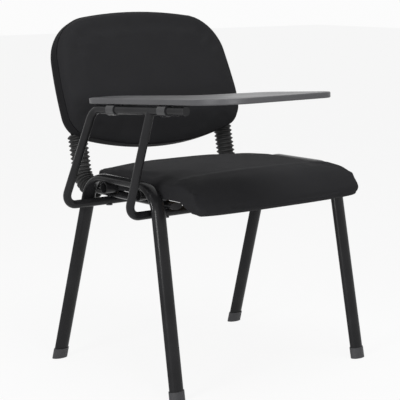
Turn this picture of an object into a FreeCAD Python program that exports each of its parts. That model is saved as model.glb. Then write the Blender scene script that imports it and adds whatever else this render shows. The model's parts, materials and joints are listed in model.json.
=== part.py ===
import FreeCAD, Part
import Sketcher
import math
import os
from FreeCAD import Placement, Rotation, Vector

# Stacking conference chair with a flip-up writing tablet, in millimetres.
# +Z is up, the front faces -Y, and the sitter's right, with the tablet, is at -X.
# The pieces are laid out from the floor point midway between the four feet, and at the end
# they all move together so that the origin is on the floor at the middle of the whole chair's box.

# Driving sizes: name, value, what it is
SIZES = [
    ("foot_track", 530, "distance between the feet across the chair"),
    ("foot_front", 218, "front feet ahead of the origin"),
    ("foot_rear", 218, "rear feet behind the origin"),
    ("front_rake_share", 0.186, "run back per unit height of a front leg"),
    ("rear_rake_share", 0.292, "run forward per unit height of a rear leg"),
    ("splay_share", 0.021, "run inward per unit height of every leg"),
    ("rail_height", 437, "middle of the side rails"),
    ("frame_bend", 62, "centre radius of the side frame bends"),
    ("oval_wide", 35, "frame tube across the chair"),
    ("oval_deep", 18, "frame tube along the chair"),
    ("oval_wall", 1.5, "frame tube wall"),
    ("cap_height", 24, "foot cap"),
    ("cap_floor", 4, "foot cap below the tube"),
    ("cap_wall", 1.6, "foot cap wall"),
    ("cap_play", 0.1, "foot cap fit on the tube"),
    ("cross_diameter", 25, "cross tube"),
    ("cross_wall", 1.5, "cross tube wall"),
    ("cross_rear_place", 40, "rear cross tube behind the origin"),
    ("cross_front_place", 82, "front cross tube ahead of the origin"),
    ("cross_overhang", 6, "cross tube past the middle of the rail"),
    ("rail_bite", 1, "cross tube let into the rail for the weld"),
    ("upright_spacing", 428, "distance between the back uprights"),
    ("upright_wide", 30, "back upright tube across the chair"),
    ("upright_deep", 16, "back upright tube, the thin way"),
    ("upright_wall", 1.5, "back upright tube wall"),
    ("upright_bite", 0.5, "cross tube let into the upright for the weld"),
    ("upright_bend", 50, "centre radius of the upright bend"),
    ("upright_corner", 183, "upright corner behind the origin"),
    ("upright_front", 150, "upright front end ahead of the origin"),
    ("upright_length", 300, "upright from its corner to its top end"),
    ("upright_lean", 12.4, "lean of the uprights above the seat in degrees"),
    ("upright_knee", 108, "knee in the upright above its corner"),
    ("back_lean", 22, "lean of the back, and of the uprights above the knee, in degrees"),
    ("plug_flange", 2, "tube end plug outside the tube"),
    ("plug_depth", 10, "tube end plug inside the tube"),
    ("plug_play", 0.15, "tube end plug fit"),
    ("bellows_crest", 44, "bellows outer diameter"),
    ("bellows_valley", 35.5, "bellows diameter between ribs"),
    ("bellows_bore", 31.4, "bellows bore"),
    ("bellows_pitch", 9.6, "rib pitch"),
    ("bellows_top", 119, "bellows top end along the upright"),
    ("bellows_run", 8, "bellows past the bend, along the seat run"),
    ("board_thickness", 10, "moulded plywood seat board"),
    ("board_width", 444, "seat board"),
    ("board_rear", 148, "seat board behind the origin"),
    ("board_flat_front", 135, "flat part of the seat board ahead of the origin"),
    ("board_roll", 82, "centre radius of the board's front roll"),
    ("board_roll_angle", 55, "turn of the front roll in degrees"),
    ("board_rear_corner", 95, "seat board rear corner radius"),
    ("board_front_corner", 30, "seat board front corner radius"),
    ("soft_gap", 0.3, "gap between a pad and what it lies on"),
    ("seat_half_width", 237.5, "half of the seat pad width"),
    ("seat_rear", 164, "seat pad behind the origin"),
    ("seat_front", 257, "seat pad ahead of the origin"),
    ("seat_crown", 459, "top of the seat pad"),
    ("seat_edge_top", 446, "top of the seat pad at its sides"),
    ("seat_wrap", 430, "underside of the seat pad rim"),
    ("seat_lip", 384, "lowest point of the seat pad front"),
    ("side_wall_width", 13, "seat pad's side walls, across the chair"),
    ("side_wall_gap", 3, "seat pad's side walls above the back uprights"),
    ("side_wall_rear", 95, "seat pad's side walls behind the origin"),
    ("side_wall_corner", 14, "lower corners of the seat pad's side walls"),
    ("side_wall_round", 4, "rounding of the side walls' outer edges"),
    ("bolt_diameter", 6, "seat and back bolts"),
    ("bolt_head", 10, "seat and back bolt head diameter"),
    ("bolt_head_height", 3.6, "seat bolt head height"),
    ("back_bolt_head_height", 0.5, "back bolt's thin head inside the shell"),
    ("bolt_play", 0.3, "radial play in bolt holes"),
    ("seat_bolt_place", 150, "seat bolts from the middle"),
    ("insert_flange", 19, "threaded insert flange diameter"),
    ("insert_flange_height", 1.2, "threaded insert flange"),
    ("insert_barrel", 8, "threaded insert barrel diameter"),
    ("back_half_width", 250, "half of the back width"),
    ("back_bottom", 70.9, "back bottom edge along the upright"),
    ("back_top", 396.6, "back top edge along the upright"),
    ("back_widest", 173, "height of the widest place along the upright"),
    ("back_bottom_radius", 698, "back bottom edge"),
    ("back_side_radius", 1070, "back side edges"),
    ("back_top_radius", 1061, "back top edge"),
    ("back_low_corner", 60, "back lower corners"),
    ("back_high_corner", 111, "back upper corners"),
    ("back_least_corner", 12, "least corner radius of the back pad's inner sections"),
    ("shell_wall", 3, "back shell wall"),
    ("shell_room", 1, "room behind the upright inside the shell"),
    ("shell_depth", 46.5, "back shell from its rear face to its rim"),
    ("shell_round", 29, "rounding of the shell's rear edge"),
    ("back_board_thickness", 10, "back board"),
    ("back_board_play", 3.5, "back board inside the shell"),
    ("back_pad_thickness", 29, "back pad ahead of the shell's rim"),
    ("back_low_bolt", 160, "lower back bolts along the upright"),
    ("back_high_bolt", 265, "upper back bolts along the upright"),
    ("arm_diameter", 18, "arm tube"),
    ("arm_wall", 1.5, "arm tube wall"),
    ("arm_seam", 0.5, "gap between the arm tube runs and the back uprights above them"),
    ("arm_inner", 110, "inner ends of the arm runs from the middle"),
    ("arm_rear_hook", 335, "rear hook corner from the middle"),
    ("arm_front_hook", 313, "front hook corner from the middle"),
    ("arm_rear_place", 86.5, "rear arm run behind the origin"),
    ("arm_front_place", 116, "front arm run ahead of the origin"),
    ("arm_top_side", 291, "tablet hinge line from the middle"),
    ("arm_top_rear", 33, "rear top corner of the arm behind the origin"),
    ("arm_top_height", 589, "rear top corner of the arm"),
    ("arm_post_place", 200, "front post ahead of the rear top corner"),
    ("arm_top_length", 312, "arm top run ahead of its rear corner"),
    ("arm_hook_bend", 26, "centre radius of the hooks"),
    ("arm_top_bend", 30, "centre radius of the rear top corner"),
    ("tablet_tilt", 3.6, "rise of the tablet towards the front in degrees"),
    ("arm_bolt_diameter", 8, "arm bolts"),
    ("arm_bolt_head", 14, "arm bolt head and nut width"),
    ("arm_bolt_head_height", 2, "arm bolt's low round head"),
    ("arm_nut_height", 5.3, "arm bolt nut height"),
    ("clip_wall", 2.6, "hinge clip wall"),
    ("clip_play", 0.2, "hinge clip play round the arm tube"),
    ("clip_length", 26, "hinge clip along the tube"),
    ("clip_tail", 36, "hinge clip tail from the hinge line"),
    ("clip_rear_place", 72, "rear clip ahead of the rear top corner"),
    ("clip_front_place", 246, "front clip ahead of the rear top corner"),
    ("tablet_lift", 11.8, "tablet underside above the hinge line"),
    ("tablet_thickness", 12, "writing tablet"),
    ("tablet_overhang", 8, "tablet outer edge past the hinge line"),
    ("tablet_front", 436, "tablet front ahead of the rear top corner"),
    ("tablet_back", 31, "tablet rear end behind the rear top corner"),
    ("tablet_width", 312, "tablet width at its front"),
    ("tablet_rear_width", 92, "tablet width at its rear end"),
    ("tablet_neck_width", 129, "tablet width where it starts to widen"),
    ("tablet_flare_width", 270, "tablet width where it has widened"),
    ("tablet_neck", 200, "place where the tablet widens, ahead of the rear top corner"),
    ("tablet_flare", 60, "length over which the tablet widens"),
    ("tablet_front_skew", 14, "outer front corner behind the inner one"),
    ("tablet_outer_corner", 92, "outer front corner radius"),
    ("tablet_inner_corner", 34, "inner front corner radius"),
    ("tablet_flare_corner", 50, "corner radius where the tablet has widened"),
    ("tablet_neck_corner", 80, "inside corner radius where the tablet widens"),
    ("tablet_edge", 2.5, "rounding of the tablet's edges"),
    ("screw_diameter", 4, "tablet screws"),
    ("screw_head", 8, "tablet screw head diameter"),
    ("screw_head_height", 2.4, "tablet screw head height"),
    ("screw_length", 9, "tablet screw in the tablet"),
    ("stop_gap", 0.3, "stop below the tablet at rest"),
    ("stop_reach", 42, "stop from the hinge line"),
    ("stop_width", 18, "stop along the tube"),
    ("stop_plate", 3, "stop plate thickness"),
    ("stop_step", 10, "stop ahead of its clip"),
    ("overrun", 5, "cutters past the faces that they cut"),
]

doc = FreeCAD.newDocument("TabletChair")
sheet = doc.addObject("Spreadsheet::Sheet", "Sizes")
for row, (alias, value, meaning) in enumerate(SIZES, 1):
    sheet.set("A%d" % row, alias)
    sheet.set("B%d" % row, str(value))
    sheet.set("C%d" % row, meaning)
    sheet.setAlias("B%d" % row, alias)
doc.recompute()

RIGHT = -1
LEFT = 1
SIDES = (("right", RIGHT), ("left", LEFT))
FRONT = -1
REAR = 1
X_AXIS = Vector(1, 0, 0)
Y_AXIS = Vector(0, 1, 0)
Z_AXIS = Vector(0, 0, 1)
NODES = []


def size(name):
    """A driving size from the sheet"""
    return float(getattr(sheet, name))


def node(item, name):
    """Names an object as a separate piece of the chair"""
    item.Label = name
    NODES.append(item)
    return item


def bound(kind, name, placement=None, **sizes):
    """A Part primitive whose properties follow cells of the sheet"""
    item = doc.addObject(kind, name)
    for key, expression in sizes.items():
        item.setExpression(key, expression)
    if placement:
        item.Placement = placement
    return item


def feature(name, shape):
    """An object that holds a shape made by code"""
    item = doc.addObject("Part::Feature", name)
    item.Shape = shape
    return item


def cut(name, base, tools):
    """The base object with the tool objects taken away"""
    tool = tools[0]
    if len(tools) > 1:
        tool = doc.addObject("Part::MultiFuse", name + "_tools")
        tool.Shapes = tools
    item = doc.addObject("Part::Cut", name)
    item.Base = base
    item.Tool = tool
    return item


def origin_plane(body, role):
    """One of a body's own origin planes"""
    return [entry for entry in body.Origin.OriginFeatures if entry.Role == role][0]


def sketch_on(body, role, name, offset=None):
    """A sketch on one of a body's own origin planes"""
    sketch = body.newObject("Sketcher::SketchObject", name)
    sketch.AttachmentSupport = (origin_plane(body, role), [""])
    sketch.MapMode = "FlatFace"
    if offset:
        sketch.AttachmentOffset = offset
    return sketch


def rounded(points, radii, closed=False):
    """Lines joined by tangent arcs: a list of Part lines and arcs through the rounded corners"""
    count = len(points)
    corners = range(count) if closed else range(1, count - 1)
    starts = {}
    ends = {}
    middles = {}
    for index in corners:
        corner = points[index]
        before = (points[index - 1] - corner).normalize()
        after = (points[(index + 1) % count] - corner).normalize()
        half = before.getAngle(after) / 2
        reach = radii[index] / math.tan(half)
        starts[index] = corner + before * reach
        ends[index] = corner + after * reach
        inward = (before + after).normalize()
        middles[index] = corner + inward * (radii[index] / math.sin(half) - radii[index])
    pieces = []
    for index in range(count if closed else count - 1):
        following = (index + 1) % count
        begin = ends.get(index, points[index])
        finish = starts.get(following, points[following])
        pieces.append(Part.LineSegment(begin, finish))
        if following in middles:
            pieces.append(Part.Arc(starts[following], middles[following], ends[following]))
    return pieces


def wire_of(pieces):
    """One wire from connected curves"""
    return Part.Wire([piece.toShape() for piece in pieces])


def round_tube(points, radii, diameter, wall):
    """A bent round tube, its solid envelope and the length of its centre line"""
    spine = wire_of(rounded(points, radii))
    direction = points[1] - points[0]
    outer = Part.Wire([Part.makeCircle(diameter / 2, points[0], direction)])
    inner = Part.Wire([Part.makeCircle(diameter / 2 - wall, points[0], direction)])
    envelope = spine.makePipeShell([outer], True, False)
    bore = spine.makePipeShell([inner], True, False)
    return envelope.cut(bore), envelope, spine.Length


def oval_plug(wide, deep, wall, at, outward):
    """An end plug for an oval tube: a flange on the tube end and a spigot in it"""
    turn = Rotation(Z_AXIS, outward)
    flange_oval = Part.Ellipse(Vector(), wide / 2, deep / 2).toShape()
    play = size("plug_play")
    inner_wide = wide / 2 - wall - play
    inner_deep = deep / 2 - wall - play
    spigot_oval = Part.Ellipse(Vector(), inner_wide, inner_deep).toShape()
    flange = Part.Face(Part.Wire([flange_oval])).extrude(Z_AXIS * size("plug_flange"))
    spigot = Part.Face(Part.Wire([spigot_oval])).extrude(Z_AXIS * -size("plug_depth"))
    shape = flange.fuse(spigot)
    shape.Placement = Placement(at, turn)
    return shape


# Side frames: a hollow oval tube bent into an upside-down U, raked fore and aft and splayed

def leg_place(side, end, height):
    """Middle of a leg at a height"""
    x = side * (size("foot_track") / 2 - size("splay_share") * height)
    if end == FRONT:
        return Vector(x, -size("foot_front") + size("front_rake_share") * height, height)
    return Vector(x, size("foot_rear") - size("rear_rake_share") * height, height)


def tube_start(rake):
    """Height of the middle of a leg's lower end, just clear of the cap floor"""
    return size("cap_floor") + size("cap_play") + size("oval_deep") / 2 * math.sin(math.atan(rake))


def side_frame(name, side):
    """One hollow side frame"""
    body = doc.addObject("PartDesign::Body", name + "_body")
    front = size("front_rake_share")
    rear = size("rear_rake_share")
    rail = size("rail_height")
    places = []
    for end, height in ((FRONT, tube_start(front)), (FRONT, rail), (REAR, rail), (REAR, tube_start(rear))):
        place = leg_place(side, end, height)
        places.append(Vector(place.y, place.z, 0))
    bend = size("frame_bend")
    path = sketch_on(body, "YZ_Plane", name + "_path")
    for piece in rounded(places, [0, bend, bend, 0]):
        path.addGeometry(piece)
    start = Placement(Vector(0, places[0].x, places[0].y), Rotation(X_AXIS, -math.degrees(math.atan(front))))
    profile = sketch_on(body, "XY_Plane", name + "_profile", start)
    wide = size("oval_wide") / 2
    deep = size("oval_deep") / 2
    wall = size("oval_wall")
    profile.addGeometry(Part.Ellipse(Vector(), wide, deep))
    profile.addGeometry(Part.Ellipse(Vector(), wide - wall, deep - wall))
    pipe = body.newObject("PartDesign::AdditivePipe", name + "_pipe")
    pipe.Profile = profile
    pipe.Spine = (path, [])
    body.Tip = pipe
    splay = math.degrees(math.atan(size("splay_share")))
    body.Placement = Placement(Vector(side * size("foot_track") / 2, 0, 0), Rotation(Y_AXIS, -side * splay))
    return node(body, name)


FRAMES = {}
for word, side in SIDES:
    FRAMES[side] = side_frame("side_frame_" + word, side)


# Foot caps: sheared oval cups, level at the floor

def sheared_oval(name, side, end, low, high, grow):
    """A level-ended oval column that follows a leg"""
    rake = size("front_rake_share") if end == FRONT else size("rear_rake_share")
    long_radius = size("oval_wide") / 2 + grow
    short_radius = size("oval_deep") / 2 * math.sqrt(1 + rake ** 2) + grow
    ovals = []
    for height in (low, high):
        oval = Part.Ellipse(Vector(), long_radius, short_radius).toShape()
        oval.translate(leg_place(side, end, height))
        ovals.append(Part.Wire([oval]))
    return feature(name, Part.makeLoft(ovals, True, True))


for word, side in SIDES:
    for place, end in (("front", FRONT), ("rear", REAR)):
        name = "foot_cap_%s_%s" % (place, word)
        grow = size("cap_play") + size("cap_wall")
        outer = sheared_oval(name + "_outer", side, end, 0, size("cap_height"), grow)
        room_top = size("cap_height") + size("overrun")
        room = sheared_oval(name + "_room", side, end, size("cap_floor"), room_top, size("cap_play"))
        node(cut(name + "_cut", outer, [room]), name)


# Cross tubes welded under the side rails, which carry the seat and the back uprights

CROSS_HEIGHT = size("rail_height") - size("oval_deep") / 2 + size("rail_bite") - size("cross_diameter") / 2
RAIL_X = size("foot_track") / 2 - size("splay_share") * size("rail_height")
CROSS_HALF = RAIL_X + size("cross_overhang")
CROSS_PLACES = {"rear": size("cross_rear_place"), "front": -size("cross_front_place")}
ALONG_X = Rotation(Z_AXIS, X_AXIS)


def upright_drill(name, x, y, radius):
    """A vertical cutter as tall as the frame"""
    item = doc.addObject("Part::Cylinder", name)
    item.setExpression("Radius", radius)
    item.setExpression("Height", "Sizes.rail_height")
    item.Placement = Placement(Vector(x, y, 0), Rotation())
    return item


doc.recompute()
CROSS_ROUNDS = []
for word, y in CROSS_PLACES.items():
    name = "cross_tube_" + word
    place = Placement(Vector(-CROSS_HALF, y, CROSS_HEIGHT), ALONG_X)
    outer = bound("Part::Cylinder", name + "_outer", place, Radius="Sizes.cross_diameter / 2")
    outer.Height = 2 * CROSS_HALF
    bore = bound("Part::Cylinder", name + "_bore", place, Radius="Sizes.cross_diameter / 2 - Sizes.cross_wall")
    bore.Height = 2 * CROSS_HALF
    drills = []
    saddles = []
    for side in (RIGHT, LEFT):
        saddles.append(feature("%s_saddle_%d" % (name, side + 1), FRAMES[side].Shape.copy()))
        x = side * size("seat_bolt_place")
        radius = "Sizes.bolt_diameter / 2 + Sizes.bolt_play"
        drills.append(upright_drill("%s_drill_%d" % (name, side + 1), x, y, radius))
    CROSS_ROUNDS.append(outer)
    node(cut(name + "_cut", outer, [bore] + saddles + drills), name)


# Back uprights: hollow oval tubes from under the seat up into the back

UPRIGHT_X = size("upright_spacing") / 2
UPRIGHT_HEIGHT = CROSS_HEIGHT - size("cross_diameter") / 2 + size("upright_bite") - size("upright_deep") / 2
LEAN = math.radians(size("upright_lean"))
BACK_LEAN = math.radians(size("back_lean"))
CORNER = Vector(0, size("upright_corner"), UPRIGHT_HEIGHT)
UPWARD = Vector(0, math.sin(LEAN), math.cos(LEAN))
REARWARD = Vector(0, math.cos(LEAN), -math.sin(LEAN))
KNEE = CORNER + UPWARD * size("upright_knee")
UP_BACK = Vector(0, math.sin(BACK_LEAN), math.cos(BACK_LEAN))
BEHIND = Vector(0, math.cos(BACK_LEAN), -math.sin(BACK_LEAN))


def on_back(x, along, behind):
    """A place by its distance along the upright and behind the upright's middle, above the knee"""
    return KNEE + X_AXIS * x + UP_BACK * (along - size("upright_knee")) + BEHIND * behind


ARM_PLACES = {"rear": size("arm_rear_place"), "front": -size("arm_front_place")}
ARM_HEIGHT = UPRIGHT_HEIGHT - size("upright_deep") / 2 - size("arm_seam") - size("arm_diameter") / 2


def back_drill(name, x, along, radius):
    """A cutter square to the back, right through it"""
    reach = size("back_pad_thickness") + size("upright_deep")
    item = doc.addObject("Part::Cylinder", name)
    item.setExpression("Radius", radius)
    item.Height = 2 * reach
    item.Placement = Placement(on_back(x, along, -reach), Rotation(Z_AXIS, BEHIND))
    return item


def back_upright(name, side):
    """One hollow upright tube, notched for the cross tubes and drilled"""
    body = doc.addObject("PartDesign::Body", name + "_body")
    top = on_back(0, size("upright_length"), 0)
    front = Vector(0, -size("upright_front"), UPRIGHT_HEIGHT)
    path = sketch_on(body, "YZ_Plane", name + "_path")
    flat = [Vector(place.y, place.z, 0) for place in (front, CORNER, KNEE, top)]
    for piece in rounded(flat, [0, size("upright_bend"), size("upright_bend"), 0]):
        path.addGeometry(piece)
    start = Placement(Vector(0, 0, size("upright_front")), Rotation())
    profile = sketch_on(body, "XZ_Plane", name + "_profile", start)
    wide = size("upright_wide") / 2
    deep = size("upright_deep") / 2
    wall = size("upright_wall")
    middle = Vector(0, UPRIGHT_HEIGHT, 0)
    profile.addGeometry(Part.Ellipse(middle, wide, deep))
    profile.addGeometry(Part.Ellipse(middle, wide - wall, deep - wall))
    pipe = body.newObject("PartDesign::AdditivePipe", name + "_pipe")
    pipe.Profile = profile
    pipe.Spine = (path, [])
    body.Tip = pipe
    x = side * UPRIGHT_X
    body.Placement = Placement(Vector(x, 0, 0), Rotation())
    tools = list(CROSS_ROUNDS)
    for word in ("low", "high"):
        along = size("back_%s_bolt" % word)
        radius = "Sizes.bolt_diameter / 2 + Sizes.bolt_play"
        tools.append(back_drill("%s_drill_%s" % (name, word), x, along, radius))
    if side == RIGHT:
        for word, y in ARM_PLACES.items():
            radius = "Sizes.arm_bolt_diameter / 2 + Sizes.bolt_play"
            tools.append(upright_drill("%s_arm_drill_%s" % (name, word), x, y, radius))
    return node(cut(name + "_cut", body, tools), name)


for word, side in SIDES:
    back_upright("back_upright_" + word, side)
    at = Vector(side * UPRIGHT_X, -size("upright_front"), UPRIGHT_HEIGHT)
    plug = oval_plug(size("upright_wide"), size("upright_deep"), size("upright_wall"), at, -Y_AXIS)
    node(feature("upright_plug_" + word, plug), "upright_plug_" + word)


# Bellows: ribbed sleeves over the upright bends, each rib a ruled loft through four circles

def bellows_line():
    """The upright's centre line from the bellows' top end to their lower end, as edges"""
    bend = size("upright_bend")
    bend_reach = bend * math.tan((math.pi / 2 - LEAN) / 2)
    top = on_back(0, size("bellows_top"), 0)
    end = CORNER - Y_AXIS * (bend_reach + size("bellows_run"))
    return [piece.toShape() for piece in rounded([top, KNEE, CORNER, end], [0, bend, bend, 0])]


def along_line(edges, distance):
    """Place and direction at a distance along connected edges"""
    for edge in edges[:-1]:
        if distance <= edge.Length:
            break
        distance -= edge.Length
    else:
        edge = edges[-1]
    parameter = edge.getParameterByLength(min(distance, edge.Length))
    return edge.valueAt(parameter), edge.tangentAt(parameter)


# Where a rib's circles lie, as shares of its pitch
RIB_SHARES = (0.0, 0.34, 0.52, 0.86)


def bellows(side):
    """A hose with its ribs and bore"""
    line = bellows_line()
    length = sum(edge.Length for edge in line)
    ribs = round(length / size("bellows_pitch"))
    pitch = length / ribs
    crest = size("bellows_crest") / 2
    valley = size("bellows_valley") / 2
    radii_by_share = tuple(zip(RIB_SHARES, (valley, crest, crest, valley)))
    outside = []
    inside = []
    for rib in range(ribs):
        for share, radius in radii_by_share:
            outside.append(((rib + share) * pitch, radius))
    outside.append((length, valley))
    for distance, radius in outside:
        inside.append((distance, size("bellows_bore") / 2))

    def sleeve(rings):
        wires = []
        for distance, radius in rings:
            centre, direction = along_line(line, distance)
            axis = Placement(centre + X_AXIS * side * UPRIGHT_X, steady_turn(direction))
            circle = Part.makeCircle(radius)
            circle.Placement = axis
            wires.append(Part.Wire([circle]))
        return Part.makeLoft(wires, True, True)

    return sleeve(outside).cut(sleeve(inside)), ribs, pitch


def steady_turn(direction):
    """A rotation that keeps X where it is and turns Z onto a direction in the YZ plane"""
    return Rotation(X_AXIS, math.degrees(math.atan2(-direction.y, direction.z)))


for word, side in SIDES:
    shape, rib_count, rib_pitch = bellows(side)
    node(feature("bellows_" + word, shape), "bellows_" + word)
    print("bellows_%s: %d ribs, pitch %.2f mm" % (word, rib_count, rib_pitch))


# Seat board: moulded plywood, rolled down at the front, with threaded inserts

BOARD_BOTTOM = CROSS_HEIGHT + size("cross_diameter") / 2
BOARD_MIDDLE = BOARD_BOTTOM + size("board_thickness") / 2


def board_profile(grow):
    """Side outline of the seat board, grown by a clearance"""
    half = size("board_thickness") / 2 + grow
    rear = size("board_rear") + grow
    roll = math.radians(size("board_roll_angle")) + grow / size("board_roll")
    centre = Vector(-size("board_flat_front"), BOARD_MIDDLE - size("board_roll"), 0)

    def rolled(radius, angle):
        return centre + Vector(-radius * math.sin(angle), radius * math.cos(angle), 0)

    outer = size("board_roll") + half
    inner = size("board_roll") - half
    return [
        Part.LineSegment(Vector(rear, BOARD_MIDDLE + half, 0), rolled(outer, 0)),
        Part.Arc(rolled(outer, 0), rolled(outer, roll / 2), rolled(outer, roll)),
        Part.LineSegment(rolled(outer, roll), rolled(inner, roll)),
        Part.Arc(rolled(inner, roll), rolled(inner, roll / 2), rolled(inner, 0)),
        Part.LineSegment(rolled(inner, 0), Vector(rear, BOARD_MIDDLE - half, 0)),
        Part.LineSegment(Vector(rear, BOARD_MIDDLE - half, 0), Vector(rear, BOARD_MIDDLE + half, 0)),
    ]


def board_body(name, grow):
    """A seat board as a padded side outline with rounded corners"""
    body = doc.addObject("PartDesign::Body", name + "_body")
    outline = sketch_on(body, "YZ_Plane", name + "_outline")
    for piece in board_profile(grow):
        outline.addGeometry(piece)
    pad = body.newObject("PartDesign::Pad", name + "_pad")
    pad.Profile = outline
    pad.SideType = "Symmetric"
    pad.Length = size("board_width") + 2 * grow
    body.Tip = pad
    doc.recompute()
    half = size("board_width") / 2 + grow
    rear = size("board_rear") + grow
    rear_edges = []
    front_edges = []
    for index, edge in enumerate(pad.Shape.Edges, 1):
        middle = edge.CenterOfMass
        on_side = abs(abs(middle.x) - half) < grow + size("soft_gap")
        short = edge.Length < 2 * size("board_thickness")
        if on_side and short and middle.y > 0:
            rear_edges.append("Edge%d" % index)
        if on_side and short and middle.y < 0:
            front_edges.append("Edge%d" % index)
    last = pad
    for word, edges in (("rear", rear_edges), ("front", front_edges)):
        fillet = body.newObject("PartDesign::Fillet", "%s_%s_corners" % (name, word))
        fillet.Base = (last, matching_edges(last.Shape, pad.Shape, edges))
        fillet.Radius = size("board_%s_corner" % word) + grow
        last = fillet
        doc.recompute()
    body.Tip = last
    return body


def matching_edges(shape, old_shape, names):
    """Names of the edges of a shape that lie where named edges of an older shape lay"""
    found = []
    for name in names:
        old = old_shape.getElement(name).CenterOfMass
        gaps = [edge.CenterOfMass.distanceToPoint(old) for edge in shape.Edges]
        found.append("Edge%d" % (gaps.index(min(gaps)) + 1))
    return found


SEAT_BOLTS = []
for y in CROSS_PLACES.values():
    for side in (RIGHT, LEFT):
        SEAT_BOLTS.append(Vector(side * size("seat_bolt_place"), y, 0))

board = board_body("seat_board", 0)
board_drills = []
for number, place in enumerate(SEAT_BOLTS):
    name = "seat_board_drill_%d" % number
    drill = upright_drill(name, place.x, place.y, "Sizes.insert_barrel / 2")
    drill.setExpression("Height", "2 * Sizes.rail_height")
    board_drills.append(drill)
    flange = bound("Part::Cylinder", name + "_flange", None, Radius="Sizes.insert_flange / 2")
    flange.Height = size("insert_flange_height") + size("overrun")
    top = BOARD_BOTTOM + size("board_thickness") - size("insert_flange_height")
    flange.Placement = Placement(Vector(place.x, place.y, top), Rotation())
    board_drills.append(flange)
node(cut("seat_board_cut", board, board_drills), "seat_board")


# Seat pad: a loft of side sections, crowned, drawn in at the sides and rolled over the front

# Shares across the half width, and at each: rear, front, crown height and lip height, each as
# a share of its own range
SEAT_SHARES = (
    (0.0, 1.0, 1.0, 1.0, 1.0),
    (0.36, 0.985, 0.998, 0.93, 1.0),
    (0.64, 0.94, 0.993, 0.75, 0.99),
    (0.84, 0.84, 0.984, 0.48, 0.975),
    (0.95, 0.66, 0.968, 0.18, 0.95),
    (1.0, 0.5, 0.95, -0.3, 0.91),
)


# Where a seat section turns, as shares of its rim height, crown, length, nose height and roll
REAR_TOP_SHARE = 0.78
REAR_CROWN_SHARE = 0.1
REAR_EDGE_SHARE = 0.35
REAR_LOW_SHARE = 0.45
SHOULDER_SHARES = (0.27, 0.3)
MIDDLE_SHARE = 0.1
NOSE_SHARE = 0.36
NOSE_TURN_SHARES = (0.24, 0.78)
LIP_FRONT_SHARES = (0.27, 0.24)


def seat_section(x, rear_share, front_share, crown_share, lip_share):
    """One closed side section of the seat pad"""
    rear = size("seat_rear") * rear_share
    front = -size("seat_front") * front_share
    edge = size("seat_edge_top")
    crown = edge + (size("seat_crown") - edge) * crown_share
    wrap = size("seat_wrap")
    lip = wrap - (wrap - size("seat_lip")) * lip_share
    rim = edge - wrap
    roll = size("board_thickness") + rim / 2
    rear_top = wrap + rim * (REAR_TOP_SHARE + REAR_CROWN_SHARE * crown_share)
    shoulder_y = front + (rear - front) * SHOULDER_SHARES[0]
    shoulder = Vector(x, shoulder_y, crown - (crown - edge) * SHOULDER_SHARES[1])
    middle = Vector(x, (rear + front) * MIDDLE_SHARE, crown)
    rear_edge = Vector(x, rear - rim * REAR_EDGE_SHARE, rear_top)
    nose = Vector(x, front, lip + (crown - lip) * NOSE_SHARE)
    nose_turn_y = front + (shoulder_y - front) * NOSE_TURN_SHARES[0]
    nose_turn = Vector(x, nose_turn_y, lip + (crown - lip) * NOSE_TURN_SHARES[1])
    lip_low = Vector(x, front + roll, lip)
    lip_front = Vector(x, front + roll * LIP_FRONT_SHARES[0], lip + roll * LIP_FRONT_SHARES[1])
    bend = size("board_roll") - (BOARD_MIDDLE - wrap)
    bend_centre = Vector(x, -size("board_flat_front"), BOARD_MIDDLE - size("board_roll"))
    bend_angle = math.radians(size("board_roll_angle")) * lip_share
    tuck = bend_centre + Z_AXIS * bend
    tuck_turn = bend_centre + Vector(0, -math.sin(bend_angle / 2), math.cos(bend_angle / 2)) * bend
    tuck_end = bend_centre + Vector(0, -math.sin(bend_angle), math.cos(bend_angle)) * bend
    rear_low = Vector(x, rear - rim * REAR_LOW_SHARE, wrap)
    rear_out = Vector(x, rear, wrap + rim * REAR_LOW_SHARE)
    pieces = [
        Part.Arc(rear_low, rear_out, rear_edge),
        Part.Arc(rear_edge, middle, shoulder),
        Part.Arc(shoulder, nose_turn, nose),
        Part.Arc(nose, lip_front, lip_low),
        Part.LineSegment(lip_low, tuck_end),
        Part.Arc(tuck_end, tuck_turn, tuck),
        Part.LineSegment(tuck, rear_low),
    ]
    return wire_of(pieces)


def side_wall(side):
    """The side of the seat pad, which reaches down past the board"""
    corner = size("side_wall_corner")
    outer = side * size("seat_half_width")
    top = (size("seat_wrap") + size("seat_edge_top")) / 2
    low = UPRIGHT_HEIGHT + size("upright_deep") / 2 + size("side_wall_gap")
    front = corner - size("seat_front") * SEAT_SHARES[-1][2]
    rear = size("side_wall_rear")
    places = [Vector(outer, y, z) for y, z in ((front, top), (front, low), (rear, low), (rear, top))]
    pieces = rounded(places, [0, corner, corner, 0])
    pieces.append(Part.LineSegment(places[-1], places[0]))
    wall = Part.Face(wire_of(pieces)).extrude(X_AXIS * -side * size("side_wall_width"))
    edges = []
    for edge in wall.Edges:
        middle = edge.CenterOfMass
        if abs(middle.x - outer) < size("soft_gap") and middle.z < top - size("soft_gap"):
            edges.append(edge)
    return wall.makeFillet(size("side_wall_round"), edges)


def seat_pad():
    """The crowned seat pad with its side walls"""
    sections = []
    half = size("seat_half_width")
    for shares in reversed(SEAT_SHARES[1:]):
        sections.append(seat_section(-half * shares[0], *shares[1:]))
    for shares in SEAT_SHARES:
        sections.append(seat_section(half * shares[0], *shares[1:]))
    crowned = Part.makeLoft(sections, True, False)
    return crowned.fuse([side_wall(RIGHT), side_wall(LEFT)]).removeSplitter()


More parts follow.
